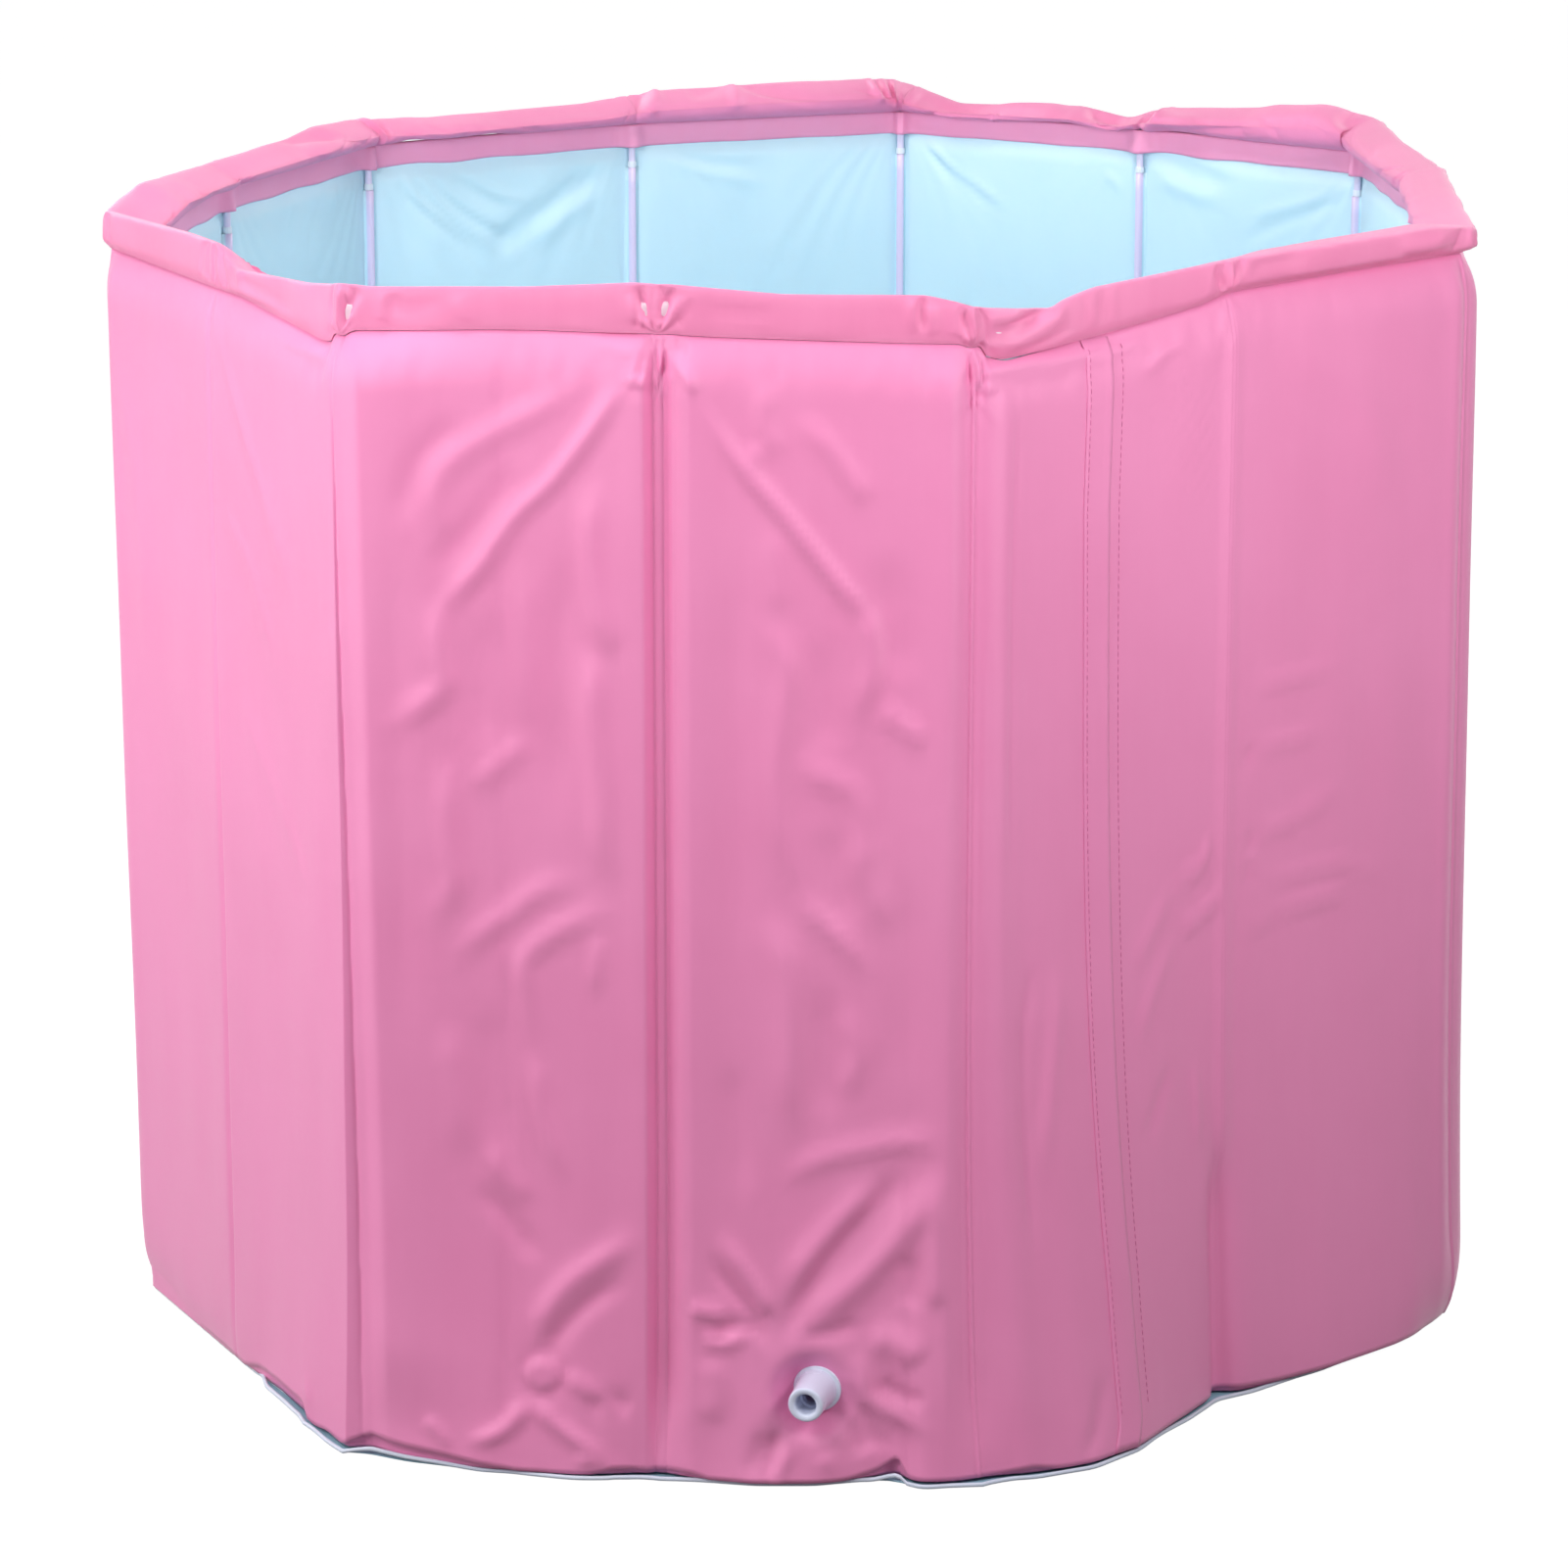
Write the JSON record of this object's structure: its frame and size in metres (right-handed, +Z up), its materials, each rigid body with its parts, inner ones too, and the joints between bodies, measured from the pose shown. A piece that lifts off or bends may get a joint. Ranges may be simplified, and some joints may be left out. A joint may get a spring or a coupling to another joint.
{
  "type": "portable soft-walled bathtub with inflatable rim",
  "caption": "Round soft-walled bathtub held up by corner poles and wall boards, with an inflatable rim, a drain spout through the front wall and a filling valve on the back of the rim.",
  "frame": {"origin": "centre of the base on the ground", "axes": "+Z up; the wall panel with the drain spout faces -Y; +X to the right of someone who faces the drain"},
  "size_m": [0.7743, 0.7994, 0.65],
  "materials": {
    "skin_fabric": "satin PVC-coated fabric",
    "band_fabric": "satin PVC-coated fabric",
    "liner_fabric": "satin PVC-coated fabric",
    "base_fabric": "satin PVC-coated fabric",
    "piping_fabric": "matt woven edging",
    "foam": "closed-cell foam",
    "sleeve_film": "translucent film",
    "pole_plastic": "white moulded plastic",
    "air_tube_film": "welded PVC film",
    "spout_plastic": "satin moulded plastic",
    "grey_rubber": "matt moulded rubber",
    "valve_plastic": "soft clear-tinted PVC"
  },
  "bodies": {
    "tub": {"outer_skin": "skin_fabric", "closing_lap": "skin_fabric", "rim_cover": "skin_fabric", "inner_band": "band_fabric", "liner_wall": "liner_fabric", "liner_floor": "liner_fabric", "base_sheet": "base_fabric", "hem_piping": "piping_fabric", "base_pad": "foam", "foam_board_01": "foam", "foam_board_02": "foam", "foam_board_03": "foam", "foam_board_04": "foam", "foam_board_05": "foam", "foam_board_06": "foam", "foam_board_07": "foam", "foam_board_08": "foam", "foam_board_09": "foam", "foam_board_10": "foam", "foam_board_11": "foam", "foam_board_12": "foam", "foam_board_13": "foam", "foam_board_14": "foam", "pole_sleeve_01": "sleeve_film", "pole_sleeve_02": "sleeve_film", "pole_sleeve_03": "sleeve_film", "pole_sleeve_04": "sleeve_film", "pole_sleeve_05": "sleeve_film", "pole_sleeve_06": "sleeve_film", "pole_sleeve_07": "sleeve_film", "pole_sleeve_08": "sleeve_film", "pole_sleeve_09": "sleeve_film", "pole_sleeve_10": "sleeve_film", "pole_sleeve_11": "sleeve_film", "pole_sleeve_12": "sleeve_film", "pole_sleeve_13": "sleeve_film", "pole_sleeve_14": "sleeve_film", "rim_air_tube": "air_tube_film", "drain_spout": "spout_plastic", "drain_lock_nut": "spout_plastic", "drain_gasket": "grey_rubber", "wall_stud": "pole_plastic", "valve_body": "valve_plastic"},
    "stopper": {"drain_stopper": "grey_rubber"},
    "plug": {"valve_plug": "valve_plastic"},
    "pole_body_01": {"pole_01": "pole_plastic"},
    "pole_body_02": {"pole_02": "pole_plastic"},
    "pole_body_03": {"pole_03": "pole_plastic"},
    "pole_body_04": {"pole_04": "pole_plastic"},
    "pole_body_05": {"pole_05": "pole_plastic"},
    "pole_body_06": {"pole_06": "pole_plastic"},
    "pole_body_07": {"pole_07": "pole_plastic"},
    "pole_body_08": {"pole_08": "pole_plastic"},
    "pole_body_09": {"pole_09": "pole_plastic"},
    "pole_body_10": {"pole_10": "pole_plastic"},
    "pole_body_11": {"pole_11": "pole_plastic"},
    "pole_body_12": {"pole_12": "pole_plastic"},
    "pole_body_13": {"pole_13": "pole_plastic"},
    "pole_body_14": {"pole_14": "pole_plastic"}
  },
  "joints": [
    {"name": "stopper_slide", "type": "slide", "parent": "tub", "child": "stopper", "axis": [0, 1, 0], "range_m": [0, 0.045]},
    {"name": "valve_plug_hinge", "type": "hinge", "parent": "tub", "child": "plug", "pos_m": [-0.01952, 0.38034, 0.6454], "axis": [0.9564, 0.2919, 0], "range_deg": [0, 150]},
    {"name": "pole_slide_01", "type": "slide", "parent": "tub", "child": "pole_body_01", "axis": [0, 0, 1], "range_m": [0, 0.008]},
    {"name": "pole_slide_02", "type": "slide", "parent": "tub", "child": "pole_body_02", "axis": [0, 0, 1], "range_m": [0, 0.008]},
    {"name": "pole_slide_03", "type": "slide", "parent": "tub", "child": "pole_body_03", "axis": [0, 0, 1], "range_m": [0, 0.008]},
    {"name": "pole_slide_04", "type": "slide", "parent": "tub", "child": "pole_body_04", "axis": [0, 0, 1], "range_m": [0, 0.008]},
    {"name": "pole_slide_05", "type": "slide", "parent": "tub", "child": "pole_body_05", "axis": [0, 0, 1], "range_m": [0, 0.008]},
    {"name": "pole_slide_06", "type": "slide", "parent": "tub", "child": "pole_body_06", "axis": [0, 0, 1], "range_m": [0, 0.008]},
    {"name": "pole_slide_07", "type": "slide", "parent": "tub", "child": "pole_body_07", "axis": [0, 0, 1], "range_m": [0, 0.008]},
    {"name": "pole_slide_08", "type": "slide", "parent": "tub", "child": "pole_body_08", "axis": [0, 0, 1], "range_m": [0, 0.008]},
    {"name": "pole_slide_09", "type": "slide", "parent": "tub", "child": "pole_body_09", "axis": [0, 0, 1], "range_m": [0, 0.008]},
    {"name": "pole_slide_10", "type": "slide", "parent": "tub", "child": "pole_body_10", "axis": [0, 0, 1], "range_m": [0, 0.008]},
    {"name": "pole_slide_11", "type": "slide", "parent": "tub", "child": "pole_body_11", "axis": [0, 0, 1], "range_m": [0, 0.008]},
    {"name": "pole_slide_12", "type": "slide", "parent": "tub", "child": "pole_body_12", "axis": [0, 0, 1], "range_m": [0, 0.008]},
    {"name": "pole_slide_13", "type": "slide", "parent": "tub", "child": "pole_body_13", "axis": [0, 0, 1], "range_m": [0, 0.008]},
    {"name": "pole_slide_14", "type": "slide", "parent": "tub", "child": "pole_body_14", "axis": [0, 0, 1], "range_m": [0, 0.008]}
  ]
}
